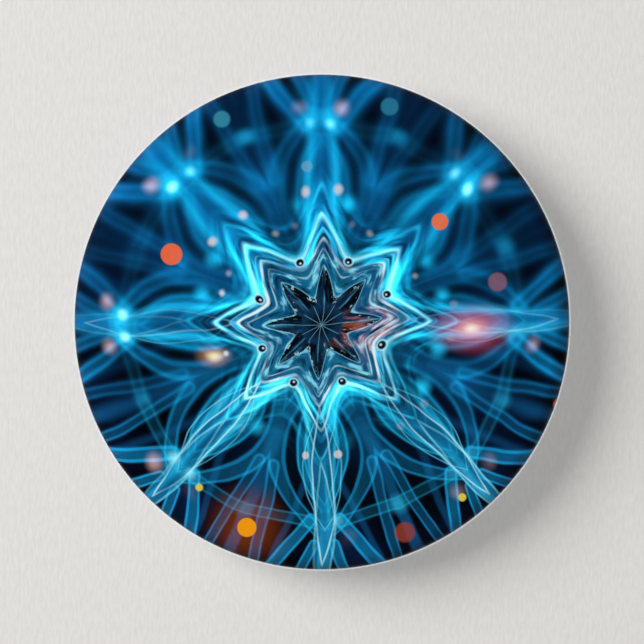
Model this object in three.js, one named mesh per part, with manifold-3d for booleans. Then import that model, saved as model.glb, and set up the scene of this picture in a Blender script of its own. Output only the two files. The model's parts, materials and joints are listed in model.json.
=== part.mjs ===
// A 58 mm pin-back button badge, as an assembly of its real pieces: a clear film and a printed
// paper disc wrapped round a domed tinplate shell, a stamped back plate that locks them in, and a
// spring-wire pin in two solids, the anchored leg and the needle that opens from its hairpin bend.
//
// The frame is the badge as worn, in millimetres: the front faces -Y, +Z is up and +X is to the
// right seen from the front. The pieces are drawn with y = 0 in the plane of the folded rim that
// rests on the cloth, and moved at the end so that the origin is the middle of the badge's box.
import * as THREE from 'three';
import { mergeVertices } from 'three/addons/utils/BufferGeometryUtils.js';
import Module from 'manifold-3d';

const wasm = await Module();
wasm.setup();

// ---- Driving dimensions ----
const BADGE_RADIUS = 29;
const CROWN_RADIUS = 300; // the shallow dome of the face
const SHOULDER_RADIUS = 2.4; // from the face into the side
const SIDE_HEIGHT = 0.2;
const HEM_RADIUS = 1.2; // from the side round to the back
const TUCK_RADIUS = 0.5; // where film and paper fold in, next to the back plate
const TUCK_BORE = 25.7; // radius of the opening that the back plate fills
const TUCK_LENGTH = 0.9;
const SHELL_LAND = 1.1; // flat width of the shell's own hem

const FILM = 0.12;
const PAPER = 0.2;
const TIN = 0.25;
const LAYER_GAP = 0.03; // between one wrapped layer and the next

const PLATE_FIT = 0.1; // between the back plate and the tucked film
const PLATE_RECESS = 2; // of the plate's middle, below the rim's plane
const RING_RECESS = 0.7; // of the plate's raised ring
const RING_INNER = 22.4;
const STEP_ANGLE = Math.PI / 3; // slope of the step between the middle and the ring
const STEP_BEND = 0.8; // radius of the step's two bends
const TIGHT_BEND = 0.2; // inner radius of the bends at the plate's edge
const PLATE_WALL = 0.3; // straight part of the wall that stands inside the tuck
const FLANGE_WIDTH = 1.4; // of the flange that hooks in front of the shell's hem

const WIRE_RADIUS = 0.45;
const LEG_Z = -1.5; // height of the anchored leg, which ends in a foot bent down
const NEEDLE_Z = 4; // above the badge's middle, so that the badge hangs upright
const NEEDLE_RISE = 1.7; // of the needle's centre line from the plate
const HAIRPIN_X = 15.2; // where the hairpin bend starts
const NEEDLE_TIP_X = -19;
const POINT_LENGTH = 4; // of the sharpened point
const POINT_BASE = 0.98 * WIRE_RADIUS; // keeps the point's base just under the shaft's surface
const FOOT_X = -9;
const FOOT_LENGTH = 5.4;
const FOOT_BEND = 1.2;
const PIVOT_GAP = 0.08; // between the leg and the ball where the needle pivots

const STRAP_WIDTH = 3.2; // of the lanced straps that hold the leg down
const STRAP_CLEARANCE = 0.1;
const STRAP_XS = [-4.5, 8.5];
const FOOT_STRAP_Z = -5.6;

const CATCH_X = -15.2; // middle of the curled catch
const CATCH_WIDTH = 3.4;
const CATCH_RADIUS = 1.05; // inside the curl
const CATCH_LIP = Math.PI / 18; // how far the curl passes the back of the needle
const CUT_GAP = 0.25; // between the catch's tongue and the edge of its window

const ROUND_SEGMENTS = 48; // about the badge's axis
const BEND_STEP = Math.PI / 6; // the coarsest turn between two points of a bend
const WIRE_SIDES = 12;
const WELD_DISTANCE = 1e-4; // below which two points of a mesh are one

// ---- Sections of bent sheet ----

function headingVector(angle) {
  return new THREE.Vector2(Math.cos(angle), Math.sin(angle));
}

// Points along one face of a bent sheet, each with the direction through the sheet, which is to
// the left of the way along. A move is a length straight on, or [angle, radius] for a bend, where
// a positive angle turns to the left.
function sheetFace(start, heading, moves) {
  const face = [];
  const position = start.clone();
  let angle = heading;
  const place = () => face.push({
    point: position.clone(),
    inward: headingVector(angle + Math.PI / 2),
  });
  place();
  for (const move of moves) {
    if (typeof move === 'number') {
      position.addScaledVector(headingVector(angle), move);
      place();
      continue;
    }
    const [turn, radius] = move;
    const steps = Math.max(3, Math.ceil(Math.abs(turn) / BEND_STEP));
    const chord = 2 * radius * Math.sin(Math.abs(turn) / steps / 2);
    for (let i = 0; i < steps; i++) {
      position.addScaledVector(headingVector(angle + turn / steps / 2), chord);
      angle += turn / steps;
      place();
    }
  }
  return face;
}

// The closed outline between two depths of a bent sheet.
function sheetOutline(face, nearDepth, farDepth) {
  const at = (depth) => face.map(({ point, inward }) =>
    point.clone().addScaledVector(inward, depth));
  return [...at(nearDepth), ...at(farDepth).reverse()];
}

function turned(outline) {
  return new THREE.LatheGeometry(outline, ROUND_SEGMENTS);
}

// An outline drawn in the (z, y) plane, given its width along X.
function extrudedAcross(outline, x, width) {
  const geometry = new THREE.ExtrudeGeometry(new THREE.Shape(outline), {
    depth: width,
    bevelEnabled: false,
  });
  const toFrame = new THREE.Matrix4().makeBasis(
    new THREE.Vector3(0, 0, 1),
    new THREE.Vector3(0, 1, 0),
    new THREE.Vector3(-1, 0, 0),
  );
  return geometry.applyMatrix4(toFrame).translate(x + width / 2, 0, 0);
}

// ---- Solids ----

function solid(geometry) {
  const bare = geometry.clone();
  bare.deleteAttribute('normal');
  bare.deleteAttribute('uv');
  const merged = mergeVertices(bare, WELD_DISTANCE);
  return new wasm.Manifold(new wasm.Mesh({
    numProp: 3,
    vertProperties: new Float32Array(merged.attributes.position.array),
    triVerts: new Uint32Array(merged.index.array),
  }));
}

function geometryOf(manifold) {
  const mesh = manifold.getMesh();
  const geometry = new THREE.BufferGeometry();
  geometry.setAttribute('position', new THREE.BufferAttribute(mesh.vertProperties, 3));
  geometry.setIndex(new THREE.BufferAttribute(mesh.triVerts, 1));
  return geometry;
}

// ---- The wrapped layers: film, paper and shell follow one outer line ----

const crownAngle = Math.asin((BADGE_RADIUS - SHOULDER_RADIUS) / (CROWN_RADIUS - SHOULDER_RADIUS));
const shoulderY = -HEM_RADIUS - SIDE_HEIGHT;
const faceY = shoulderY + (CROWN_RADIUS - SHOULDER_RADIUS) * Math.cos(crownAngle) - CROWN_RADIUS;
const landWidth = BADGE_RADIUS - HEM_RADIUS - TUCK_BORE - TUCK_RADIUS;

// From the badge's axis, over the shoulder and round the hem to the start of its flat land.
const domeMoves = [
  [crownAngle, CROWN_RADIUS],
  [Math.PI / 2 - crownAngle, SHOULDER_RADIUS],
  SIDE_HEIGHT,
  [Math.PI / 2, HEM_RADIUS],
];
const tuckMoves = [landWidth, [Math.PI / 2, TUCK_RADIUS], TUCK_LENGTH];

function wrappedLayer(depth, thickness, endMoves) {
  const face = sheetFace(new THREE.Vector2(0, faceY), 0, [...domeMoves, ...endMoves]);
  return turned(sheetOutline(face, depth, depth + thickness));
}

const paperDepth = FILM + LAYER_GAP;
const shellDepth = paperDepth + PAPER + LAYER_GAP;

// ---- The back plate: a pressed disc with lanced straps and a curled catch ----

const plateY = -PLATE_RECESS; // the plate's rear face, where the pin lies
const plateMiddleY = plateY - TIN / 2; // halfway through the sheet
const legY = plateY + WIRE_RADIUS + STRAP_CLEARANCE / 2;
const needleY = plateY + NEEDLE_RISE;

// Drawn along the plate's front face, so the sheet's thickness is towards the rear.
function pressedDisc() {
  const rise = PLATE_RECESS - RING_RECESS;
  const slope = (rise - 2 * STEP_BEND * (1 - Math.cos(STEP_ANGLE))) / Math.sin(STEP_ANGLE);
  const stepWidth = 2 * STEP_BEND * Math.sin(STEP_ANGLE) + slope * Math.cos(STEP_ANGLE);
  const wallRadius = TUCK_BORE - PLATE_FIT - TIN;
  const face = sheetFace(new THREE.Vector2(0, plateY - TIN), 0, [
    RING_INNER - stepWidth,
    [STEP_ANGLE, STEP_BEND],
    slope,
    [-STEP_ANGLE, STEP_BEND],
    wallRadius - TIGHT_BEND - RING_INNER,
    [-Math.PI / 2, TIGHT_BEND],
    PLATE_WALL,
    [Math.PI / 2, TIGHT_BEND + TIN],
    FLANGE_WIDTH,
  ]);
  return solid(turned(sheetOutline(face, 0, TIN)));
}

// An arch that stands on the plate over a wire running along X through z = 0.
const strapInner = WIRE_RADIUS + STRAP_CLEARANCE;

function strapArch() {
  const post = legY - plateMiddleY;
  const start = new THREE.Vector2(strapInner + TIN, plateMiddleY);
  const face = sheetFace(start, Math.PI / 2, [post, [Math.PI, strapInner + TIN], post]);
  return extrudedAcross(sheetOutline(face, 0, TIN), 0, STRAP_WIDTH);
}

// The opening that a strap or tongue was pushed out of, from z = 0 up.
function lancedWindow(width, length) {
  return new THREE.BoxGeometry(width, 4 * TIN, length)
    .translate(0, plateMiddleY, length / 2);
}

// The tongue stands below the needle and curls over it, with the curl's mouth up and back.
const tongueStem = needleY - plateMiddleY;
const tongueArc = Math.PI / 2 + CATCH_LIP;
const tongueFootZ = NEEDLE_Z - CATCH_RADIUS;

function catchTongue() {
  const face = sheetFace(new THREE.Vector2(tongueFootZ, plateMiddleY), Math.PI / 2, [
    tongueStem,
    [-tongueArc, CATCH_RADIUS],
  ]);
  return extrudedAcross(sheetOutline(face, 0, TIN), CATCH_X, CATCH_WIDTH);
}

function catchWindow() {
  const tongueLength = tongueStem + tongueArc * (CATCH_RADIUS + TIN / 2);
  return lancedWindow(CATCH_WIDTH + 2 * CUT_GAP, tongueLength)
    .translate(CATCH_X, 0, tongueFootZ);
}

function backPlate() {
  const strapPlaces = [
    ...STRAP_XS.map((x) => new THREE.Matrix4().makeTranslation(x, 0, LEG_Z)),
    new THREE.Matrix4().makeRotationY(Math.PI / 2).setPosition(FOOT_X, 0, FOOT_STRAP_Z),
  ];
  let plate = pressedDisc().subtract(solid(catchWindow())).add(solid(catchTongue()));
  for (const place of strapPlaces) {
    const opening = lancedWindow(STRAP_WIDTH, 2 * strapInner).translate(0, 0, -strapInner);
    plate = plate.subtract(solid(opening.applyMatrix4(place)));
    plate = plate.add(solid(strapArch().applyMatrix4(place)));
  }
  return geometryOf(plate);
}

// ---- The spring-wire pin ----

// A wire's centre line of straight runs and round bends. A run is one step along the wire and a
// bend is several. A move is a length, or { angle, radius, towards } for a bend.
class WirePath extends THREE.Curve {
  constructor(start, heading, moves) {
    super();
    this.steps = [];
    let from = start;
    let ahead = heading.clone().normalize();
    for (const move of moves) {
      const isRun = typeof move === 'number';
      const { angle, radius, towards } = isRun ? {} : move;
      const [origin, forward] = [from, ahead];
      const at = (share) => (isRun
        ? origin.clone().addScaledVector(forward, share * move)
        : origin.clone()
          .addScaledVector(forward, radius * Math.sin(share * angle))
          .addScaledVector(towards, radius * (1 - Math.cos(share * angle))));
      const count = isRun ? 1 : Math.ceil(angle / BEND_STEP);
      for (let i = 0; i < count; i++) {
        this.steps.push((share) => at((i + share) / count));
      }
      from = at(1);
      if (!isRun) {
        ahead = forward.clone().multiplyScalar(Math.cos(angle))
          .addScaledVector(towards, Math.sin(angle));
      }
    }
  }

  getPoint(t, target = new THREE.Vector3()) {
    const along = t * this.steps.length;
    const index = THREE.MathUtils.clamp(Math.floor(along), 0, this.steps.length - 1);
    return target.copy(this.steps[index](along - index));
  }

  // Keeps the rings of the wire at the ends of the steps, and not evenly spaced.
  getUtoTmapping(u) {
    return u;
  }
}

function wire(path) {
  const section = new THREE.Shape().absarc(0, 0, WIRE_RADIUS, 0, 2 * Math.PI);
  return solid(new THREE.ExtrudeGeometry(section, {
    steps: path.steps.length,
    curveSegments: WIRE_SIDES / 2,
    extrudePath: path,
  }));
}

const legToNeedle = new THREE.Vector3(0, needleY - legY, NEEDLE_Z - LEG_Z);
const hairpinRadius = legToNeedle.length() / 2;
const legToNeedleWay = legToNeedle.clone().normalize();
const pivot = new THREE.Vector3(HAIRPIN_X + hairpinRadius, legY, LEG_Z)
  .addScaledVector(legToNeedle, 0.5);

// The anchored leg, from the foot under its strap to just short of the pivot.
function pinAnchor() {
  const up = new THREE.Vector3(0, 0, 1);
  const right = new THREE.Vector3(1, 0, 0);
  const foot = new THREE.Vector3(FOOT_X, legY, LEG_Z - FOOT_LENGTH - FOOT_BEND);
  const shortOfPivot = (WIRE_RADIUS + PIVOT_GAP) / hairpinRadius;
  return geometryOf(wire(new WirePath(foot, up, [
    FOOT_LENGTH,
    { angle: Math.PI / 2, radius: FOOT_BEND, towards: right },
    HAIRPIN_X - FOOT_X - FOOT_BEND,
    { angle: Math.PI / 2 - shortOfPivot, radius: hairpinRadius, towards: legToNeedleWay },
  ])));
}

// The needle, from its ball at the pivot round the rest of the hairpin and across to its point.
function pinNeedle() {
  const left = new THREE.Vector3(-1, 0, 0);
  const shaft = wire(new WirePath(pivot, legToNeedleWay, [
    { angle: Math.PI / 2, radius: hairpinRadius, towards: left },
    HAIRPIN_X - NEEDLE_TIP_X - POINT_LENGTH,
  ]));
  const ball = new THREE.SphereGeometry(WIRE_RADIUS, WIRE_SIDES, WIRE_SIDES / 2)
    .translate(pivot.x, pivot.y, pivot.z);
  const sunk = WIRE_RADIUS / 2; // how far the point's base is inside the shaft
  const point = new THREE.ConeGeometry(POINT_BASE, POINT_LENGTH + sunk, WIRE_SIDES)
    .rotateZ(Math.PI / 2)
    .translate(NEEDLE_TIP_X + (POINT_LENGTH + sunk) / 2, needleY, NEEDLE_Z);
  return geometryOf(shaft.add(solid(ball)).add(solid(point)));
}

// ---- The assembly ----

function piece(name, geometry, color, roughness, metalness) {
  geometry.computeVertexNormals();
  const material = new THREE.MeshStandardMaterial({ color, roughness, metalness });
  const mesh = new THREE.Mesh(geometry, material);
  mesh.name = name;
  return mesh;
}

const film = piece('clear_film', wrappedLayer(0, FILM, tuckMoves), 0xf4f8fb, 0.08, 0);
film.material.transparent = true;
film.material.opacity = 0.2;

const badge = new THREE.Group();
badge.add(
  film,
  piece('printed_disc', wrappedLayer(paperDepth, PAPER, tuckMoves), 0x0b4f7d, 0.6, 0),
  piece('front_shell', wrappedLayer(shellDepth, TIN, [SHELL_LAND]), 0xb9bcbf, 0.35, 1),
  piece('back_plate', backPlate(), 0xc4c7ca, 0.3, 1),
  piece('pin_anchor', pinAnchor(), 0xd4d6d8, 0.18, 1),
  piece('pin_needle', pinNeedle(), 0xd4d6d8, 0.18, 1),
);

badge.position.sub(new THREE.Box3().setFromObject(badge).getCenter(new THREE.Vector3()));

export default badge;
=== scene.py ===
"""The looks of a 58 mm button badge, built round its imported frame.

The film, the print, the tinplate shell, the stamped back plate and the spring-wire pin are fine
meshes of the frame's shapes. The print is a radial pattern of soft glass-like strands with discs
of light, worked out by shader nodes. The badge hangs upright before a sheet of pale paper.
"""

import itertools
import json
import math

import bmesh
import bpy
import numpy as np
from mathutils import Matrix, Vector


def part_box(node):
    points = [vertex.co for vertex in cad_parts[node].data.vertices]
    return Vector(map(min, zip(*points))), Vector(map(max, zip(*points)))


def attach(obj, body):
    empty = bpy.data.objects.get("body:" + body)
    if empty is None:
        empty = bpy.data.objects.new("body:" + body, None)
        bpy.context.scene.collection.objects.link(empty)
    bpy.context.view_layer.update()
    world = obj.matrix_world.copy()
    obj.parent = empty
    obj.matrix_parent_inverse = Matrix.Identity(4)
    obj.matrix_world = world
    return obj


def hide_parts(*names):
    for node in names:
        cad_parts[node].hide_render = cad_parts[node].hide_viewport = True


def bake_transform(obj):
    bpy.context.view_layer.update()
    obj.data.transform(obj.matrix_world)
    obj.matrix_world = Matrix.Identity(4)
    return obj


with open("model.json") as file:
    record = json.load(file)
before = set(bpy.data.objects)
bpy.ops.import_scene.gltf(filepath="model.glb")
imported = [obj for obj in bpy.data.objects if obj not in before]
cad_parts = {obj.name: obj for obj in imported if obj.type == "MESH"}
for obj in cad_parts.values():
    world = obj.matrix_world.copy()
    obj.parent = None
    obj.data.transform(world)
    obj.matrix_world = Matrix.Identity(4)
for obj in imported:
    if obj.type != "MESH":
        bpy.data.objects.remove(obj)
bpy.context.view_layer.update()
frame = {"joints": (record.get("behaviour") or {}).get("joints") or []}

# ---- Sizes, in metres ----

MM = 0.001
film_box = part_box("clear_film")
plate_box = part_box("back_plate")
anchor_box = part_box("pin_anchor")
needle_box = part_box("pin_needle")
PIVOT = Vector(frame["joints"][0]["pos_m"])

RADIUS = film_box[1].x
FACE_Y = film_box[0].y
RIM_Y = film_box[1].y
BACK_Y = plate_box[1].y

# The wrapped layers, as depths below the film's outer face.
FILM = 0.12 * MM
PAPER = 0.2 * MM
TIN = 0.25 * MM
PAPER_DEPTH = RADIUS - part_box("printed_disc")[1].x
SHELL_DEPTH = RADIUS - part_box("front_shell")[1].x
CROWN_RADIUS = 300 * MM
SHOULDER_RADIUS = 2.4 * MM
SIDE_HEIGHT = 0.2 * MM
HEM_RADIUS = 1.2 * MM
TUCK_RADIUS = 0.5 * MM
TUCK_BORE = 25.7 * MM
TUCK_LENGTH = 0.9 * MM
SHELL_LAND = 1.1 * MM
EDGE_Y = RIM_Y - HEM_RADIUS - SIDE_HEIGHT  # the front of the badge's straight side

# The back plate.
PLATE_FIT = 0.1 * MM
PLATE_RECESS = 2 * MM
RING_RECESS = 0.7 * MM
PLATE_Y = RIM_Y - PLATE_RECESS
RING_Y = RIM_Y - RING_RECESS
RING_INNER = 22.4 * MM
STEP_ANGLE = math.pi / 3
STEP_BEND = 0.8 * MM
TIGHT_BEND = 0.2 * MM
PLATE_WALL = 0.3 * MM
FLANGE_WIDTH = 1.4 * MM

# The pin.
WIRE = 0.45 * MM  # radius
LEG_Z = -1.5 * MM
NEEDLE_Z = 2 * PIVOT.z - LEG_Z
LEG_GAP = 0.05 * MM  # between the leg and the plate
LEG_Y = PLATE_Y + WIRE + LEG_GAP
NEEDLE_Y = 2 * PIVOT.y - LEG_Y
LEG_TO_NEEDLE = Vector((0, NEEDLE_Y - LEG_Y, NEEDLE_Z - LEG_Z))
FOOT_X = anchor_box[0].x + WIRE
FOOT_BEND = 1.2 * MM
POINT_LENGTH = 4 * MM
POINT_TIP = 0.03  # the wire's radius left at the very point, as a share
POINT_SHAPE = 0.8  # 1 is a plain cone, and less is rounder

STRAP_WIDTH = 3.2 * MM
STRAP_CLEARANCE = 0.1 * MM
STRAP_INNER = WIRE + STRAP_CLEARANCE
STRAP_XS = (-4.5 * MM, 8.5 * MM)
FOOT_STRAP_Z = -5.6 * MM
CATCH_X = -15.2 * MM
CATCH_WIDTH = 3.4 * MM
CATCH_RADIUS = 1.05 * MM
CATCH_LIP = math.radians(10)
CUT_GAP = 0.25 * MM

ROOT_BEND = 0.4 * MM  # where a strap or the tongue leaves the plate
ROOT_SUNK = 0.2 * MM  # how far its end runs on inside the plate
SLIT = 0.06 * MM  # on each side of a strap
CORNER = 0.7 * MM  # of the tongue's free end
EDGE_ROUND = 0.03 * MM

# The meshes' fineness.
ROUND_SEGMENTS = 240
BEND_STEP = math.radians(9)
WIRE_BEND_STEP = math.radians(5)
WIRE_RUN_STEP = 0.8 * MM
WIRE_SIDES = 20
FLAT_ANGLE = math.radians(0.5)  # below which two faces are one flat face
SHARP_ANGLE = math.radians(35)  # above which an edge isn't shaded smooth
ROUNDED_ANGLE = math.radians(50)  # above which an edge of the plate is rounded
WELD = 1e-8
CUT_WELD = 1e-6  # after cuts, which leave points that nearly meet

# The stage.
SHEET_GAP = 3.2 * MM
SHEET_Y = BACK_Y + SHEET_GAP
SHEET_SIZE = 80 * RADIUS
FRAME_SHARE = 1.2925  # half the view's width, in badge radii
LENS = 150
LIGHT_DISTANCE = 1.1
KEY_SLANT = math.radians(52)  # from straight ahead
KEY_TURN = math.radians(156)  # anticlockwise from the right
KEY_SIZE = 0.75
KEY_POWER = 10.2
FILL_SIZE = 0.1
FILL_POWER = 4.15
REAR_PLACE = (-0.5, 0.8, 0.6)
REAR_SIZE = 0.7
REAR_POWER = 9.0
WORLD_LIGHT = 0.10
WORLD_TINT = "eef4f8"
EDGE_GLOW = 1.6  # what the film mirrors from straight behind the badge
GLOSS_DARK = 0.02  # what it mirrors from elsewhere
BACKDROP_LIGHT = 0.72  # of the world, where the camera sees it past the sheet


# ---- Meshes ----


def heading(angle):
    return np.array([math.cos(angle), math.sin(angle)])


def sheet_face(start, angle, moves):
    """Points along one face of a bent sheet and the directions through it, to the left. A move
    is a length straight on, or (angle, radius) for a bend."""
    points, inward = [np.array(start, float)], [heading(angle + math.pi / 2)]
    for move in moves:
        turn, chord, steps = 0, move, 1
        if isinstance(move, tuple):
            steps = max(8, math.ceil(abs(move[0]) / BEND_STEP))
            turn = move[0] / steps
            chord = 2 * move[1] * math.sin(abs(turn) / 2)
        for _ in range(steps):
            points.append(points[-1] + chord * heading(angle + turn / 2))
            angle += turn
            inward.append(heading(angle + math.pi / 2))
    return np.array(points), np.array(inward)


def sheet_outline(face, near, far):
    """The closed outline between two depths of a bent sheet."""
    points, inward = face
    return np.vstack([points + near * inward, (points + far * inward)[::-1]])


def mesh_object(name, vertices, faces):
    mesh = bpy.data.meshes.new(name)
    mesh.from_pydata([tuple(v) for v in vertices], [], faces)
    bm = bmesh.new()
    bm.from_mesh(mesh)
    bmesh.ops.remove_doubles(bm, verts=bm.verts, dist=WELD)
    bmesh.ops.recalc_face_normals(bm, faces=bm.faces)
    bm.to_mesh(mesh)
    bm.free()
    made = bpy.data.objects.new(name, mesh)
    bpy.context.scene.collection.objects.link(made)
    return made


def smooth_shaded(piece):
    piece.data.shade_smooth()
    piece.data.set_sharp_from_angle(angle=SHARP_ANGLE)
    return piece


def turned(name, outline):
    """A closed (radius, y) outline turned about the badge's axis."""
    turns = np.linspace(0, 2 * math.pi, ROUND_SEGMENTS, endpoint=False)
    count = len(outline)
    vertices = [
        (radius * math.sin(turn), y, radius * math.cos(turn))
        for turn in turns
        for radius, y in outline
    ]
    faces = []
    for i in range(ROUND_SEGMENTS):
        near, far = i * count, (i + 1) % ROUND_SEGMENTS * count
        for j in range(count):
            k = (j + 1) % count
            if outline[j][0] > 0 or outline[k][0] > 0:
                faces.append((near + j, near + k, far + k, far + j))
    return mesh_object(name, vertices, faces)


def ring_faces(rings, sides):
    """Quads between rings of equal size, with a cap on the first and the last."""
    faces = [
        (
            i * sides + j,
            i * sides + (j + 1) % sides,
            (i + 1) * sides + (j + 1) % sides,
            (i + 1) * sides + j,
        )
        for i in range(rings - 1)
        for j in range(sides)
    ]
    return faces + [tuple(range(sides)), tuple(range((rings - 1) * sides, rings * sides))]


def strip(name, face, widths, place):
    """A bent strip of tinplate. face runs in the strip's own (u, v) plane, and widths are across
    it. place carries (u, v, w) into the frame."""
    vertices = []
    for point, through, width in zip(*face, widths):
        far = point + TIN * through
        for (u, v), w in ((point, -1), (point, 1), (far, 1), (far, -1)):
            vertices.append(place @ Vector((u, v, w * width / 2)))
    return mesh_object(name, vertices, ring_faces(len(widths), 4))


def block(name, low, high):
    """A box with the corners given in the frame, for cutting a window."""
    vertices = list(itertools.product(*zip(low, high)))
    faces = [(0, 1, 3, 2), (4, 5, 7, 6), (0, 1, 5, 4), (2, 3, 7, 6), (0, 2, 6, 4), (1, 3, 7, 5)]
    return mesh_object(name, vertices, faces)


def combine(piece, tool, operation):
    """Cuts or joins one solid with another, which is then gone."""
    modifier = piece.modifiers.new(operation, "BOOLEAN")
    modifier.object, modifier.operation, modifier.solver = tool, operation, "EXACT"
    apply_modifiers(piece)
    bpy.data.objects.remove(tool)


def cleaned(piece, flatten=False):
    """Welds the points that nearly meet after cuts. flatten joins the faces in one plane, and
    otherwise faces of many sides are split into triangles."""
    bm = bmesh.new()
    bm.from_mesh(piece.data)
    bmesh.ops.remove_doubles(bm, verts=bm.verts, dist=CUT_WELD)
    bmesh.ops.dissolve_degenerate(bm, edges=bm.edges, dist=CUT_WELD)
    if flatten:
        bmesh.ops.dissolve_limit(bm, angle_limit=FLAT_ANGLE, verts=bm.verts, edges=bm.edges)
    else:
        many_sided = [face for face in bm.faces if len(face.verts) > 4]
        bmesh.ops.triangulate(bm, faces=many_sided, ngon_method="BEAUTY")
    bm.to_mesh(piece.data)
    bm.free()


def apply_modifiers(piece):
    graph = bpy.context.evaluated_depsgraph_get()
    mesh = bpy.data.meshes.new_from_object(piece.evaluated_get(graph))
    piece.modifiers.clear()
    piece.data = mesh


# ---- The wrapped layers ----

LAND = RADIUS - HEM_RADIUS - TUCK_BORE - TUCK_RADIUS
TUCK_MOVES = [LAND, (math.pi / 2, TUCK_RADIUS), TUCK_LENGTH]


def dome_moves():
    angle = math.asin((RADIUS - SHOULDER_RADIUS) / (CROWN_RADIUS - SHOULDER_RADIUS))
    return [
        (angle, CROWN_RADIUS),
        (math.pi / 2 - angle, SHOULDER_RADIUS),
        SIDE_HEIGHT,
        (math.pi / 2, HEM_RADIUS),
    ]


def wrapped_layer(name, depth, thickness, end_moves):
    face = sheet_face((0, FACE_Y), 0, [*dome_moves(), *end_moves])
    return smooth_shaded(turned(name, sheet_outline(face, depth, depth + thickness)))


# ---- The back plate ----


def pressed_disc():
    rise = RING_Y - PLATE_Y
    slope = (rise - 2 * STEP_BEND * (1 - math.cos(STEP_ANGLE))) / math.sin(STEP_ANGLE)
    step_width = 2 * STEP_BEND * math.sin(STEP_ANGLE) + slope * math.cos(STEP_ANGLE)
    wall_radius = TUCK_BORE - PLATE_FIT - TIN
    face = sheet_face((0, PLATE_Y - TIN), 0, [
        RING_INNER - step_width,
        (STEP_ANGLE, STEP_BEND),
        slope,
        (-STEP_ANGLE, STEP_BEND),
        wall_radius - TIGHT_BEND - RING_INNER,
        (-math.pi / 2, TIGHT_BEND),
        PLATE_WALL,
        (math.pi / 2, TIGHT_BEND + TIN),
        FLANGE_WIDTH,
    ])
    return turned("back_plate_pressing", sheet_outline(face, 0, TIN))


def strap(plate, name, centre_x, centre_z, along_x):
    """Lances a strap over the wire: opens its window, then joins the arch across it."""
    reach = STRAP_INNER + ROOT_BEND
    side = STRAP_WIDTH / 2 + SLIT
    half = Vector((side, 2 * TIN, reach) if along_x else (reach, 2 * TIN, side))
    centre = Vector((centre_x, PLATE_Y - TIN / 2, centre_z))
    combine(plate, block(name, centre - half, centre + half), "DIFFERENCE")
    rise = LEG_Y - (PLATE_Y - TIN) - ROOT_BEND
    face = sheet_face((-reach - ROOT_SUNK, 0), 0, [
        ROOT_SUNK,
        (math.pi / 2, ROOT_BEND),
        rise,
        (-math.pi, STRAP_INNER),
        rise,
        (math.pi / 2, ROOT_BEND),
        ROOT_SUNK,
    ])
    across = Vector((0, 0, 1)) if along_x else Vector((1, 0, 0))
    along = Vector((1, 0, 0)) if along_x else Vector((0, 0, 1))
    place = Matrix((across, Vector((0, 1, 0)), along)).transposed().to_4x4()
    place.translation = (centre_x, PLATE_Y - TIN, centre_z)
    combine(plate, strip(name, face, [STRAP_WIDTH] * len(face[0]), place), "UNION")


def catch(plate):
    """Cuts the catch's tongue free and joins it on, risen from the plate and curled over."""
    foot = NEEDLE_Z - CATCH_RADIUS
    root = foot - ROOT_BEND
    stem = NEEDLE_Y - (PLATE_Y - TIN) - ROOT_BEND
    arc = math.pi / 2 + CATCH_LIP
    length = stem + arc * (CATCH_RADIUS + TIN / 2) + ROOT_BEND
    side = CATCH_WIDTH / 2 + CUT_GAP
    combine(plate, block(
        "catch_window",
        (CATCH_X - side, PLATE_Y - 3 * TIN, root),
        (CATCH_X + side, PLATE_Y + 3 * TIN, root + length),
    ), "DIFFERENCE")
    face = sheet_face((root - ROOT_SUNK, 0), 0, [
        ROOT_SUNK,
        (math.pi / 2, ROOT_BEND),
        stem,
        (-arc, CATCH_RADIUS),
    ])
    runs = np.linalg.norm(np.diff(face[0], axis=0), axis=1)
    left = runs.sum() - np.concatenate([[0], np.cumsum(runs)])
    rounding = np.clip(1 - left / CORNER, 0, 1)
    widths = CATCH_WIDTH - 2 * CORNER * (1 - np.sqrt(1 - rounding**2))
    place = Matrix(((0, 0, 1), (0, 1, 0), (1, 0, 0))).to_4x4()
    place.translation = (CATCH_X, PLATE_Y - TIN, 0)
    combine(plate, strip("catch_tongue", face, widths, place), "UNION")


def back_plate():
    plate = pressed_disc()
    catch(plate)
    for i, x in enumerate(STRAP_XS):
        strap(plate, f"strap_{i}", x, LEG_Z, True)
    strap(plate, "foot_strap", FOOT_X, FOOT_STRAP_Z, False)
    plate.name = "stamped_back_plate"
    cleaned(plate, flatten=True)
    bevel = plate.modifiers.new("edges", "BEVEL")
    bevel.width, bevel.segments, bevel.limit_method = EDGE_ROUND, 2, "ANGLE"
    bevel.angle_limit = ROUNDED_ANGLE
    apply_modifiers(plate)
    cleaned(plate)
    smooth_shaded(plate)
    weighted = plate.modifiers.new("flat faces stay flat", "WEIGHTED_NORMAL")
    weighted.keep_sharp = True
    apply_modifiers(plate)
    return plate


# ---- The spring-wire pin ----


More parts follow.
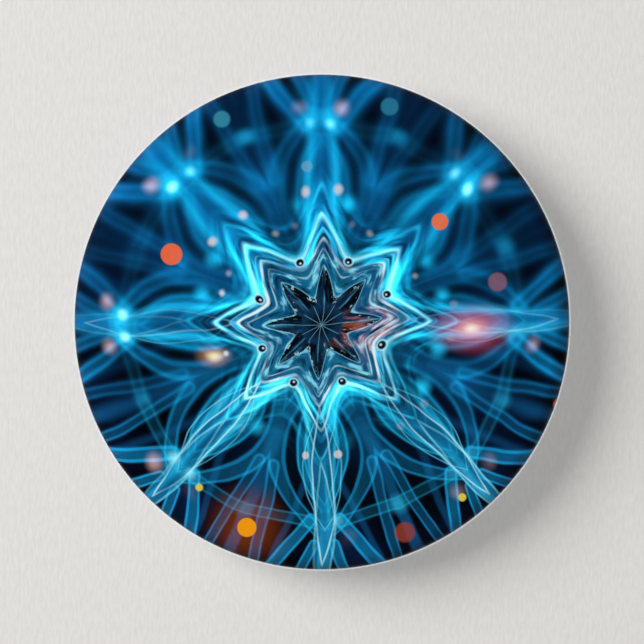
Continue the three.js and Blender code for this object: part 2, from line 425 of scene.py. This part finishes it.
def wire_path():
    """Stations along the pin, as (place, way) pairs, from its foot to the needle's point. A move
    is a length straight on, or (angle, radius, side) for a bend."""
    foot_z = anchor_box[0].z
    hairpin = LEG_TO_NEEDLE.length / 2
    hairpin_x = PIVOT.x - hairpin
    place, way = Vector((FOOT_X, LEG_Y, foot_z)), Vector((0, 0, 1))
    stations = [(place, way)]
    for move in (
        LEG_Z - FOOT_BEND - foot_z,
        (math.pi / 2, FOOT_BEND, Vector((1, 0, 0))),
        hairpin_x - FOOT_X - FOOT_BEND,
        (math.pi, hairpin, LEG_TO_NEEDLE.normalized()),
        hairpin_x - needle_box[0].x,
    ):
        start, ahead = place, way
        bends = isinstance(move, tuple)
        steps = math.ceil(move[0] / WIRE_BEND_STEP if bends else move / WIRE_RUN_STEP)
        for i in range(1, steps + 1):
            share = i / steps
            if bends:
                angle, radius, side = move
                turn = angle * share
                place = start + radius * (math.sin(turn) * ahead + (1 - math.cos(turn)) * side)
                way = math.cos(turn) * ahead + math.sin(turn) * side
            else:
                place = start + move * share * ahead
            stations.append((place, way))
    return stations


def spring_wire():
    stations = wire_path()
    tip = stations[-1][0]
    side = Vector((0, 1, 0))
    vertices = []
    for place, way in stations:
        left = min((tip - place).length / POINT_LENGTH, 1)
        size = WIRE * (POINT_TIP + (1 - POINT_TIP) * left**POINT_SHAPE)
        side = (side - way * side.dot(way)).normalized()
        other = way.cross(side)
        for i in range(WIRE_SIDES):
            turn = 2 * math.pi * i / WIRE_SIDES
            vertices.append(place + size * (math.cos(turn) * side + math.sin(turn) * other))
    pin = mesh_object("spring_wire_pin", vertices, ring_faces(len(stations), WIRE_SIDES))
    return smooth_shaded(pin)


# ---- Shader fields ----


def linear(code):
    """A colour written as sRGB hex digits, as Blender's linear colour."""
    channels = [int(code[i : i + 2], 16) / 255 for i in (0, 2, 4)]
    return (*[c / 12.92 if c <= 0.04045 else ((c + 0.055) / 1.055) ** 2.4 for c in channels], 1)


class Field:
    """A number, vector or colour that shader nodes work out at each point of a surface."""

    def __init__(self, tree, socket):
        self.tree = tree
        self.socket = socket

    def node(self, kind, *inputs, output=0, **settings):
        """Adds a node. Each input is a Field, a plain value, or None for the node's own."""
        made = self.tree.nodes.new(kind)
        for setting, value in settings.items():
            setattr(made, setting, value)
        for socket, value in zip(made.inputs, inputs):
            if isinstance(value, Field):
                self.tree.links.new(value.socket, socket)
            elif value is not None:
                socket.default_value = value
        return Field(self.tree, made.outputs[output])

    def math(self, operation, *others, clamp=False):
        return self.node("ShaderNodeMath", self, *others, operation=operation, use_clamp=clamp)

    def vector(self, operation, *others, output=0):
        return self.node("ShaderNodeVectorMath", self, *others, operation=operation, output=output)

    def __add__(self, other):
        return self.math("ADD", other)

    __radd__ = __add__

    def __sub__(self, other):
        return self.math("SUBTRACT", other)

    def __rsub__(self, other):
        return self.node("ShaderNodeMath", other, self, operation="SUBTRACT")

    def __mul__(self, other):
        return self.math("MULTIPLY", other)

    __rmul__ = __mul__

    def __truediv__(self, other):
        return self.math("DIVIDE", other)

    def __abs__(self):
        return self.math("ABSOLUTE")

    def smooth(self, start, end, low=0.0, high=1.0):
        """low up to start, high from end on and a smooth step between. start may be past end."""
        return self.node(
            "ShaderNodeMapRange", self, start, end, low, high, interpolation_type="SMOOTHSTEP"
        )

    def ramp(self, start, end, low=0.0, high=1.0):
        return self.node("ShaderNodeMapRange", self, start, end, low, high)

    def distance(self, other):
        return self.vector("DISTANCE", other, output=1)

    def dot(self, other):
        return self.vector("DOT_PRODUCT", other, output=1)

    def length(self):
        return self.vector("LENGTH", output=1)

    def parts(self):
        made = self.tree.nodes.new("ShaderNodeSeparateXYZ")
        self.tree.links.new(self.socket, made.inputs[0])
        return [Field(self.tree, output) for output in made.outputs]

    def noise(self, scale, detail=2.0, roughness=0.5, output=0):
        return self.node(
            "ShaderNodeTexNoise", self, None, scale, detail, roughness, output=output
        )


def joined(x, y, z=0.0):
    """A vector from its parts. x is a Field."""
    return x.node("ShaderNodeCombineXYZ", x, y, z)


def plain(tree, code):
    made = tree.nodes.new("ShaderNodeRGB")
    made.outputs[0].default_value = linear(code)
    return Field(tree, made.outputs[0])


def mixed(colour, tint, amount, blend="MIX"):
    made = colour.tree.nodes.new("ShaderNodeMix")
    made.data_type, made.blend_type = "RGBA", blend
    for socket, value in zip((0, 6, 7), (amount, colour, tint)):
        if isinstance(value, Field):
            colour.tree.links.new(value.socket, made.inputs[socket])
        else:
            made.inputs[socket].default_value = linear(value) if isinstance(value, str) else value
    return Field(colour.tree, made.outputs[2])


def lit(colour, tint, amount):
    """Light of one tint added over a colour, as screen blending, so that it never burns out."""
    return mixed(colour, tint, amount, "SCREEN")


def object_coordinates(tree):
    return Field(tree, tree.nodes.new("ShaderNodeTexCoord").outputs["Object"])


# ---- The print's pattern ----

POINTS = 8  # of the pattern's star
HUB_RAYS = 12
MIDDLE_TONE = 0.09  # the brightness that more contrast leaves as it is
SECTOR = 2 * math.pi / POINTS


class Pattern:
    """The print's coordinates, in badge radii: x to the right and y up, and the same folded about
    the eight spokes, so that along runs outwards on the nearest spoke and across is to its side."""

    def __init__(self, tree):
        right, depth, up = object_coordinates(tree).parts()
        reach = joined(right, up).length()
        # Past the edge the paper turns in, and its picture runs on outwards.
        bleed = ((RADIUS - reach) * 2 + depth - EDGE_Y) * depth.math("GREATER_THAN", EDGE_Y)
        spread = (bleed / reach + 1.0) / RADIUS
        self.flat = joined(right * spread, up * spread)
        drift = self.flat.noise(1.7, 1.0, output=1).vector("SUBTRACT", (0.5, 0.5, 0.5))
        ripple = self.flat.noise(6.0, 1.0, output=1).vector("SUBTRACT", (0.5, 0.5, 0.5))
        bent = drift.vector("MULTIPLY_ADD", (0.10, 0.10, 0), self.flat)
        self.point = ripple.vector("MULTIPLY_ADD", (0.024, 0.024, 0), bent)
        self.x, self.y, _ = self.point.parts()
        self.radius = self.point.length()
        angle = self.y.math("ARCTAN2", self.x)
        sector = (angle / SECTOR).math("ROUND")
        turn = angle - sector * SECTOR
        self.along = self.radius * turn.math("COSINE")
        self.side = self.radius * turn.math("SINE")
        self.across = abs(self.side)
        turned_away = (turn * turn / (SECTOR / 2) ** 2 + 0.003).math("SQRT")
        self.point_share = (1.0 - turned_away).math("MAXIMUM", 0.0).math("POWER", 1.7)
        self.folded = joined(self.along, self.across)
        self.sector = sector.math("FLOORED_MODULO", float(POINTS))
        self.chances = self.sector.node(
            "ShaderNodeTexWhiteNoise", None, self.sector, noise_dimensions="1D", output=1
        ).parts()
        self.far = self.y.smooth(-0.75, 0.45)  # 0 near the eye and sharp, 1 far and blurred
        self.blur = self.far.ramp(0.0, 1.0, 0.18, 1.7)
        drawn = joined(self.along * 1.5, self.side * 20.0 + self.sector * 9.0).noise(1.0, 1.0)
        self.streaks = (drawn - 0.5) * self.far.ramp(0.0, 1.0, 1.0, 0.3) + 0.5

    def stroke(self, distance, width, softness):
        """A strand's light, by the distance from its middle line."""
        spread = self.blur * softness
        return distance.smooth(spread + width, spread * -0.6 + width)

    def tube(self, distance, width, softness):
        """Light on a clear strand: a body between two edges, which are fainter far away."""
        body = self.stroke(distance, width, softness)
        edges = self.stroke(abs(distance - width * 0.8), width * 0.13, softness * 0.55)
        return body * self.far.ramp(0.0, 1.0, 0.3, 0.6) + edges * self.far.ramp(0.0, 1.0, 0.75, 0.4)

    def segment(self, start, end):
        """Distance from a straight line between two points."""
        start, end = Vector((*start, 0)), Vector((*end, 0))
        way = end - start
        slope = tuple(way / way.length_squared)
        from_start = self.folded.vector("SUBTRACT", tuple(start))
        share = from_start.dot(slope).math("ADD", 0.0, clamp=True)
        return self.folded.distance(share.vector("MULTIPLY_ADD", tuple(way), tuple(start)))

    def bow(self, start, end, rise):
        """Distance across the spoke from a strand that bows out between two places on it."""
        share = self.along.ramp(start, end)
        return abs(self.across - share * (1.0 - share) * (4 * rise))

    def star(self, tip, valley):
        """Roughly the distance outside the edge of a star, negative inside it. The star's sides
        curve in to round valleys."""
        return (self.radius - self.point_share * (tip - valley) - valley) * 0.8

    def window(self, start, end, fade):
        """1 between two places along the spoke, fading to 0 outside them."""
        return self.along.smooth(start - fade, start) * self.along.smooth(end + fade, end)


def backdrop(at, tree):
    clouds = at.flat.noise(2.3, 2.0)
    colour = mixed(plain(tree, "020818"), "06204a", clouds.smooth(0.4, 0.7))
    return lit(colour, "0a5288", at.radius.smooth(0.8, 0.15) * 0.2)


def far_strands(at, colour):
    """Dim, wide strands a long way behind, between the spokes."""
    gap = at.folded.dot((math.sin(SECTOR / 2), -math.cos(SECTOR / 2), 0))
    colour = lit(colour, "0b5486", at.stroke(gap, 0.02, 0.06) * at.window(0.5, 1.3, 0.2) * 0.7)
    crossing = at.stroke(at.segment((0.45, 0.0), (0.98, 0.24)), 0.012, 0.05)
    return lit(colour, "0a4676", crossing * 0.6)


def links(at, colour):
    """Strands from one spoke to the next and out to the rim."""
    bright = at.chances[0].ramp(0.0, 1.0, 0.6, 1.0) * at.far.ramp(0.0, 1.0, 1.5, 1.1)
    for start, end, width, tint, amount in (
        ((0.80, 0.02), (0.73, 0.32), 0.024, "1088b4", 0.3),
        ((0.78, 0.06), (1.02, 0.26), 0.026, "0d7aae", 1.1),
        ((0.56, 0.20), (1.10, 0.33), 0.022, "0b6394", 0.9),
        ((0.88, 0.04), (1.20, 0.20), 0.022, "0d7aae", 1.0),
    ):
        light = at.tube(at.segment(start, end), width, 0.03)
        colour = lit(colour, tint, light * bright * amount)
    return colour


def petals(at, colour):
    """The bows on each side of the spokes."""
    bright = at.chances[1].ramp(0.0, 1.0, 0.65, 1.1) * at.far.ramp(0.0, 1.0, 1.4, 1.0)
    for start, end, rise, width, tint, amount in (
        (0.22, 0.85, 0.19, 0.034, "0a6a98", 1.0),
        (0.28, 0.74, 0.09, 0.020, "0e8cbc", 0.9),
    ):
        light = at.tube(at.bow(start, end, rise), width, 0.03)
        light = light * at.window(start, end, 0.02) * bright
        colour = lit(colour, tint, light * at.streaks.smooth(0.2, 0.65, 0.6, 1.2) * amount)
    return colour


def spokes(at, colour):
    bright = at.chances[2].ramp(0.0, 1.0, 0.8, 1.1)
    taper = at.along.ramp(0.25, 1.0, 0.085, 0.034)
    body = at.across.smooth(taper + at.blur * 0.03, taper * 0.45)
    colour = mixed(colour, "05345e", body * 0.55)
    glints = at.streaks.smooth(0.5, 0.72)
    colour = lit(colour, "0a74a6", body * bright * at.streaks.smooth(0.25, 0.6, 0.35, 0.95))
    colour = lit(colour, "46cdf0", body * glints * at.along.smooth(1.0, 0.3, 0.2, 0.85))
    flank = at.stroke(abs(at.across - taper * 0.85), 0.005, 0.02)
    return lit(colour, "22aedd", flank * at.along.smooth(1.15, 0.45) * 0.6)


def nodes_of_light(at, colour):
    """Glows where the strands meet, and pale blobs beside them."""
    for place, size, tint, amount in (
        ((0.80, 0.03), 0.085, "28b4e4", 0.6),
        ((0.79, 0.045), 0.035, "b8ecfa", 0.55),
        ((0.735, 0.30), 0.055, "2aa8d8", 0.5),
        ((0.86, 0.09), 0.05, "d0a4a8", 0.55),
        ((0.47, 0.115), 0.05, "22b4e2", 0.7),
    ):
        glow = at.folded.distance((*place, 0)).smooth(size, 0.0)
        colour = lit(colour, tint, glow * at.flat.noise(3.1, 0.0).smooth(0.35, 0.62) * amount)
    return colour


def glass_folds(at, colour):
    """Star-shaped folds of clear glass round the middle, brightest near it."""
    for tip, valley, reach, frequency, tint, amount in (
        (0.52, 0.31, 0.17, 20.0, "19a6d8", 0.7),
        (0.42, 0.275, 0.08, 30.0, "3fc8ea", 0.7),
    ):
        edge = at.star(tip, valley)
        fade = edge.smooth(reach, reach * -0.2) * at.radius.smooth(0.72, 0.4)
        drawn = joined(edge * frequency, at.x * 5.0, at.y * 5.0).noise(1.0, 2.0)
        colour = mixed(colour, "04264a", drawn.smooth(0.5, 0.34) * fade * 0.75)
        colour = lit(colour, tint, drawn.smooth(0.5, 0.68) * fade * amount)
    for tip, valley, width, tint, amount in (
        (0.56, 0.29, 0.006, "3cc8ee", 0.5),
        (0.44, 0.27, 0.005, "a8ecfb", 0.75),
    ):
        line = at.stroke(abs(at.star(tip, valley)), width, 0.012)
        colour = lit(colour, tint, line * at.streaks.smooth(0.3, 0.6, 0.3, 1.0) * amount)
    return lit(colour, "0f9ccc", at.radius.smooth(0.44, 0.26) * 0.25)


def deepened(at, colour):
    """The strands so far, with more contrast to their dark gaps, above all far away, and more
    light by the rim."""
    colour = colour.node("ShaderNodeGamma", colour, at.far.ramp(0.0, 1.0, 1.0, 1.3))
    slope = at.far.ramp(0.0, 1.0, 0.2, 0.5)
    gain = (colour.node("ShaderNodeRGBToBW", colour) / MIDDLE_TONE).math("POWER", slope)
    by_the_rim = at.radius.ramp(0.82, 0.95, 1.0, 1.3)
    deep = colour.vector("SCALE", None, None, gain * by_the_rim)
    return deep.vector("MULTIPLY", (1.05, 1.05, 0.97))


def collar(at, colour):
    """The clear glass star round the dark one."""
    edge = at.star(0.345, 0.23)
    drawn = joined(edge * 30.0, at.x * 14.0, at.y * 14.0).noise(1.0, 2.0)
    glints = at.point.noise(7.0, 1.0).smooth(0.4, 0.6, 0.15, 1.0)
    glass = mixed(plain(colour.tree, "0b5580"), "86dcf2", drawn.smooth(0.52, 0.70))
    glass = mixed(glass, "02182e", drawn.smooth(0.46, 0.32))
    colour = mixed(colour, glass, edge.smooth(0.006, -0.004) * 0.92)
    for offset, width, tint, amount in (
        (0.0, 0.005, "e4f8fd", 1.0),
        (0.024, 0.003, "6fd4f0", 0.6),
        (-0.030, 0.003, "c4eefa", 0.6),
    ):
        line = abs(edge - offset).smooth(width * 2, width * 0.3)
        colour = lit(colour, tint, line * glints * amount)
    warmth = at.point.distance((0.21, -0.04, 0)).smooth(0.16, 0.02)
    return lit(colour, "e0662e", warmth * drawn.smooth(0.44, 0.6) * 0.6)


def beads(at, colour):
    """A bead of dark glass in each valley of the collar, with a pale edge and a glint."""
    middle = 0.262 * heading(SECTOR / 2)
    reach = at.folded.distance((*middle, 0))
    colour = mixed(colour, "05162a", reach.smooth(0.020, 0.016))
    colour = lit(colour, "9fe0f4", abs(reach - 0.018).smooth(0.006, 0.001) * 0.85)
    glint = at.folded.distance((*(middle * 0.985), 0)).smooth(0.007, 0.001)
    return lit(colour, "ffffff", glint * 0.8)


def dark_star(at, colour):
    """Eight dark facets with pale chips along their edges, round a hub of fine spokes."""
    edge = at.star(0.24, 0.115)
    facet = at.side.smooth(-0.003, 0.003)
    cut = joined(at.along * 9.0, at.side * 46.0 + at.sector * 7.0).noise(1.0, 3.0, 0.6)
    outer = at.radius.smooth(0.07, 0.22, 0.35, 1.0)
    face = mixed(plain(colour.tree, "030a18"), "0c2d49", facet * 0.8)
    face = mixed(face, "2f7da6", cut.smooth(0.48, 0.68) * outer * facet.ramp(0.0, 1.0, 0.35, 0.8))
    face = mixed(face, "01040b", cut.smooth(0.46, 0.34) * 0.8)
    warmth = at.point.distance((0.11, -0.03, 0)).smooth(0.10, 0.02)
    face = lit(face, "9a4a20", warmth * cut.smooth(0.42, 0.6) * 0.9)
    chips = joined(at.along * 30.0, at.side * 70.0 + at.sector * 5.0).noise(1.0, 2.0, 0.6)
    face = lit(face, "c4e8f4", chips.smooth(0.58, 0.66) * edge.smooth(-0.05, -0.004) * 0.75)
    face = lit(face, "4f9fc2", at.across.smooth(0.005, 0.001) * cut.smooth(0.35, 0.6) * 0.7)
    hub = at.radius.smooth(0.092, 0.074)
    face = mixed(face, "020812", hub)
    face = lit(face, "0d3656", hub * at.radius.smooth(0.015, 0.085) * 0.8)
    angle = at.y.math("ARCTAN2", at.x) * (HUB_RAYS / (2 * math.pi))
    rays = angle.math("PINGPONG", 0.5) * at.radius
    face = lit(face, "6fa8c4", rays.smooth(0.004, 0.001) * hub * 0.6)
    colour = mixed(colour, face, edge.smooth(0.003, -0.003))
    return lit(colour, "7fd0ea", abs(edge).smooth(0.006, 0.001) * 0.5)


def sharp_strands(at, colour):
    """Thin bright edges of the strands nearest the eye, low down on the print."""
    near = at.y.smooth(0.15, -0.3)
    for start, end, rise, width, tint, amount in (
        (0.34, 0.96, 0.045, 0.0024, "b4ecfa", 0.85),
        (0.36, 0.82, 0.085, 0.0020, "5fcbea", 0.7),
        (0.55, 1.12, 0.040, 0.0028, "7fd9f2", 0.7),
    ):
        line = at.bow(start, end, rise).smooth(width * 2.4, width * 0.4)
        light = line * at.window(start, end, 0.01) * at.streaks.smooth(0.3, 0.6, 0.25, 1.0)
        colour = lit(colour, tint, light * near * amount)
    return colour


def glints(at, colour):
    """Small pale discs in pairs beside the spokes, lit on a few spokes only."""
    first, second, _ = at.chances
    for place, size, tint, chance in (
        ((0.52, 0.07), 0.016, "e8dcdc", first),
        ((0.39, 0.12), 0.010, "f4fafc", second),
    ):
        softness = at.blur * 0.005 + 0.002
        disc = at.folded.distance((*place, 0)).smooth(softness + size, softness * -1.0 + size)
        colour = mixed(colour, tint, disc * chance.smooth(0.5, 0.8) * 0.7)
    return colour


def spots(at, colour):
    """Discs out of focus, each (place, radius, soft edge, tint, strength)."""
    for place, size, edge, tint, amount in (
        ((-0.60, 0.27), 0.043, 0.003, "ea6a3f", 0.95),
        ((0.47, 0.40), 0.033, 0.003, "f07442", 0.95),
        ((-0.30, -0.82), 0.11, 0.09, "a84a08", 0.4),
        ((-0.30, -0.82), 0.038, 0.003, "f79d12", 1.0),
        ((0.33, -0.84), 0.040, 0.006, "9c4030", 0.75),
        ((0.70, 0.16), 0.037, 0.006, "9a6c80", 0.6),
        ((-0.40, 0.81), 0.033, 0.006, "3b93ad", 0.7),
        ((0.27, 0.86), 0.035, 0.006, "2d83a3", 0.7),
        ((0.95, -0.33), 0.024, 0.003, "ef6c2c", 0.95),
        ((0.56, -0.70), 0.016, 0.003, "e9d250", 0.95),
        ((-0.49, -0.66), 0.015, 0.003, "e3cb48", 0.9),
        ((-0.06, 0.62), 0.022, 0.004, "6aa9c8", 0.7),
    ):
        light = at.flat.distance((*place, 0)).smooth(size + edge, size - edge)
        colour = mixed(colour, tint, light * amount)
    for place, size, tint, amount in (
        ((0.60, -0.03), 0.20, "d8401c", 0.8),
        ((0.60, -0.03), 0.09, "ff9a50", 0.9),
        ((0.60, -0.03), 0.045, "fff6d8", 1.0),
        ((-0.44, -0.13), 0.09, "e8a860", 0.6),
        ((-0.44, -0.13), 0.05, "fff2c4", 0.9),
    ):
        stretched = at.point.vector("SUBTRACT", (*place, 0)).vector("MULTIPLY", (1, 1.7, 1))
        colour = lit(colour, tint, stretched.length().smooth(size, 0.0) * amount)
    return colour


def artwork(tree):
    at = Pattern(tree)
    colour = backdrop(at, tree)
    for layer in (
        far_strands,
        links,
        petals,
        spokes,
        nodes_of_light,
        glass_folds,
        deepened,
        collar,
        beads,
        dark_star,
        sharp_strands,
        glints,
        spots,
    ):
        colour = layer(at, colour)
    return colour


# ---- Materials ----


def material(name):
    """A new material, and its tree with only the output node."""
    made = bpy.data.materials.new(name)
    made.use_nodes = True
    tree = made.node_tree
    tree.nodes.clear()
    tree.nodes.new("ShaderNodeOutputMaterial")
    return made, tree


def principled(tree, **inputs):
    """A Principled shader wired to the output. Inputs are named with _ for a space."""
    shader = tree.nodes.new("ShaderNodeBsdfPrincipled")
    for name, value in inputs.items():
        socket = shader.inputs[name.replace("_", " ")]
        if isinstance(value, Field):
            tree.links.new(value.socket, socket)
        else:
            socket.default_value = value
    tree.links.new(shader.outputs[0], tree.nodes["Material Output"].inputs[0])
    return shader


def bump(height, strength, distance):
    made = height.node("ShaderNodeBump", strength, distance)
    height.tree.links.new(height.socket, made.socket.node.inputs["Height"])
    return made


def print_material():
    made, tree = material("printed_paper")
    place = object_coordinates(tree)
    grain = place.noise(3000.0, 2.0)
    principled(
        tree,
        Base_Color=mixed(artwork(tree), "000000", grain.smooth(0.5, 0.8, 0.0, 0.05)),
        Roughness=grain.ramp(0.0, 1.0, 0.5, 0.7),
        Specular_IOR_Level=0.2,
    )
    return made


def film_material():
    """Clear but for its gloss, which is stronger the more it's seen edge on. The side against
    the paper and the light falling through are left alone."""
    made, tree = material("clear_film")
    wear = object_coordinates(tree).noise(900.0, 3.0, 0.6)
    gloss = tree.nodes.new("ShaderNodeBsdfAnisotropic")
    tree.links.new(wear.ramp(0.3, 0.8, 0.05, 0.12).socket, gloss.inputs["Roughness"])
    inner = Field(tree, tree.nodes.new("ShaderNodeNewGeometry").outputs["Backfacing"])
    shadow = Field(tree, tree.nodes.new("ShaderNodeLightPath").outputs["Is Shadow Ray"])
    shine = wear.node("ShaderNodeFresnel", 1.45) * (1.0 - inner) * (1.0 - shadow)
    clear = tree.nodes.new("ShaderNodeBsdfTransparent")
    mix = tree.nodes.new("ShaderNodeMixShader")
    tree.links.new(shine.socket, mix.inputs[0])
    tree.links.new(clear.outputs[0], mix.inputs[1])
    tree.links.new(gloss.outputs[0], mix.inputs[2])
    tree.links.new(mix.outputs[0], tree.nodes["Material Output"].inputs[0])
    return made


def tinplate_material(name, dark, bright, low_roughness, high_roughness):
    """Tinned steel sheet: fine rolling marks along X and cloudy tin."""
    made, tree = material(name)
    place = object_coordinates(tree)
    marks = place.vector("MULTIPLY", (0.06, 1, 1)).noise(6000.0, 3.0, 0.6)
    clouds = place.noise(220.0, 3.0, 0.6)
    tone = mixed(plain(tree, dark), bright, marks * 0.5 + clouds * 0.5)
    principled(
        tree,
        Base_Color=tone,
        Metallic=1.0,
        Roughness=(marks * 0.6 + clouds * 0.4).ramp(0.3, 0.7, low_roughness, high_roughness),
        Normal=bump(marks, 0.12, 0.01 * MM),
    )
    return made


def wire_material():
    made, tree = material("nickel_plated_wire")
    place = object_coordinates(tree)
    drawn = place.vector("MULTIPLY", (0.03, 1, 1)).noise(9000.0, 2.0)
    spots_of_wear = place.noise(1200.0, 3.0, 0.6)
    tone = mixed(plain(tree, "cfccc4"), "a8a399", spots_of_wear.smooth(0.55, 0.75) * 0.6)
    principled(
        tree,
        Base_Color=tone,
        Metallic=1.0,
        Roughness=(drawn * 0.5 + spots_of_wear * 0.5).ramp(0.3, 0.7, 0.12, 0.26),
        Normal=bump(drawn, 0.1, 0.01 * MM),
    )
    return made


def seen_from_behind(tree):
    """1 when the camera is on the pin's side of the sheet, otherwise 0."""
    camera = tree.nodes.new("ShaderNodeVectorTransform")
    camera.vector_type, camera.convert_from, camera.convert_to = "POINT", "CAMERA", "WORLD"
    camera.inputs[0].default_value = (0, 0, 0)
    return Field(tree, camera.outputs[0]).parts()[1].math("GREATER_THAN", SHEET_Y)


def sheet_material():
    """Off-white textured paper, seen only from the front: gone when the camera is behind it."""
    made, tree = material("pale_paper")
    place = object_coordinates(tree)
    height = place.vector("MULTIPLY", (1, 0.34, 1)).noise(2300.0, 2.0)
    shader = principled(
        tree,
        Base_Color=mixed(plain(tree, "e1deda"), "f1eeea", height),
        Roughness=0.95,
        Specular_IOR_Level=0.1,
        Normal=bump(height, 0.5, 0.09 * MM),
    )
    mix = tree.nodes.new("ShaderNodeMixShader")
    clear = tree.nodes.new("ShaderNodeBsdfTransparent")
    tree.links.new(seen_from_behind(tree).socket, mix.inputs[0])
    tree.links.new(shader.outputs[0], mix.inputs[1])
    tree.links.new(clear.outputs[0], mix.inputs[2])
    tree.links.new(mix.outputs[0], tree.nodes["Material Output"].inputs[0])
    return made


# ---- The pieces, on their bodies ----


def add_piece(piece, look, node, body="badge"):
    piece.data.materials.clear()
    piece.data.materials.append(look)
    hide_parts(node)
    if body:
        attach(piece, body)


def build_badge():
    shell_look = tinplate_material("dull_tinplate", "9fa1a3", "c4c6c8", 0.3, 0.5)
    plate_look = tinplate_material("bright_tinplate", "b4b6b8", "d6d8da", 0.2, 0.36)
    film = wrapped_layer("wrapped_film", 0, FILM, TUCK_MOVES)
    add_piece(film, film_material(), "clear_film")
    paper = wrapped_layer("wrapped_print", PAPER_DEPTH, PAPER, TUCK_MOVES)
    add_piece(paper, print_material(), "printed_disc")
    shell = wrapped_layer("domed_shell", SHELL_DEPTH, TIN, [SHELL_LAND])
    add_piece(shell, shell_look, "front_shell")
    add_piece(back_plate(), plate_look, "back_plate")
    pin = spring_wire()
    add_piece(pin, wire_material(), "pin_anchor", body=None)
    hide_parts("pin_needle")
    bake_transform(pin)


# ---- The sheet, lights and camera ----


def build_stage():
    bpy.ops.mesh.primitive_plane_add(
        size=SHEET_SIZE, location=(0, SHEET_Y, 0), rotation=(math.pi / 2, 0, 0)
    )
    sheet = bpy.context.object
    sheet.name = "paper_sheet"
    sheet.data.materials.append(sheet_material())
    sheet.visible_glossy = False  # so that the film's edge shines in its shadow too


def area_light(name, place, size, power, in_gloss=False):
    """A round light that faces the badge. Returns its data."""
    data = bpy.data.lights.new(name, "AREA")
    data.shape, data.size, data.energy = "DISK", size, power
    light = bpy.data.objects.new(name, data)
    light.location = place
    light.rotation_euler = Vector(place).to_track_quat("Z", "Y").to_euler()
    light.visible_glossy = in_gloss
    bpy.context.scene.collection.objects.link(light)
    return data


def build_lights():
    to_key = Vector((
        math.sin(KEY_SLANT) * math.cos(KEY_TURN),
        -math.cos(KEY_SLANT),
        math.sin(KEY_SLANT) * math.sin(KEY_TURN),
    ))
    area_light("key", to_key * LIGHT_DISTANCE, KEY_SIZE, KEY_POWER)
    # Without a shadow, so that the badge's only one on the sheet is the key light's.
    area_light("fill", (0, -LIGHT_DISTANCE, 0), FILL_SIZE, FILL_POWER).use_shadow = False
    rear = area_light("rear", REAR_PLACE, REAR_SIZE, REAR_POWER, in_gloss=True)
    rear.use_nodes = True
    tree = rear.node_tree
    tree.links.new(seen_from_behind(tree).socket, tree.nodes["Emission"].inputs["Strength"])


def build_world():
    world = bpy.data.worlds.new("studio")
    bpy.context.scene.world = world
    world.use_nodes = True
    tree = world.node_tree
    way = Field(tree, tree.nodes.new("ShaderNodeTexCoord").outputs["Generated"])
    _, forward, upward = way.parts()
    path = tree.nodes.new("ShaderNodeLightPath")
    in_gloss = Field(tree, path.outputs["Is Glossy Ray"])
    in_view = Field(tree, path.outputs["Is Camera Ray"])
    # From the front the film mirrors a bright field only straight behind it, which draws a pale
    # line round its edge. From behind, the metal mirrors a pale room with more light from above.
    edge_glow = forward.smooth(0.5, 0.95, GLOSS_DARK, EDGE_GLOW)
    room = forward.smooth(-0.35, 0.15, GLOSS_DARK, 1.0) * upward.smooth(-0.6, 0.7, 0.6, 0.95)
    reflected = seen_from_behind(tree) * (room - edge_glow) + edge_glow
    strength = in_gloss * (reflected - WORLD_LIGHT) + WORLD_LIGHT
    strength = in_view * (BACKDROP_LIGHT - strength) + strength
    background = tree.nodes["Background"]
    tree.links.new(strength.socket, background.inputs["Strength"])
    background.inputs["Color"].default_value = linear(WORLD_TINT)


def build_camera():
    data = bpy.data.cameras.new("camera")
    data.lens = LENS
    camera = bpy.data.objects.new("camera", data)
    half_view = RADIUS * FRAME_SHARE
    camera.location = (0, -half_view * LENS / (data.sensor_width / 2), 0)
    camera.rotation_euler = (math.pi / 2, 0, 0)
    bpy.context.scene.collection.objects.link(camera)
    bpy.context.scene.camera = camera


build_badge()
build_stage()
build_lights()
build_world()
build_camera()
bpy.context.scene.view_settings.view_transform = "Standard"
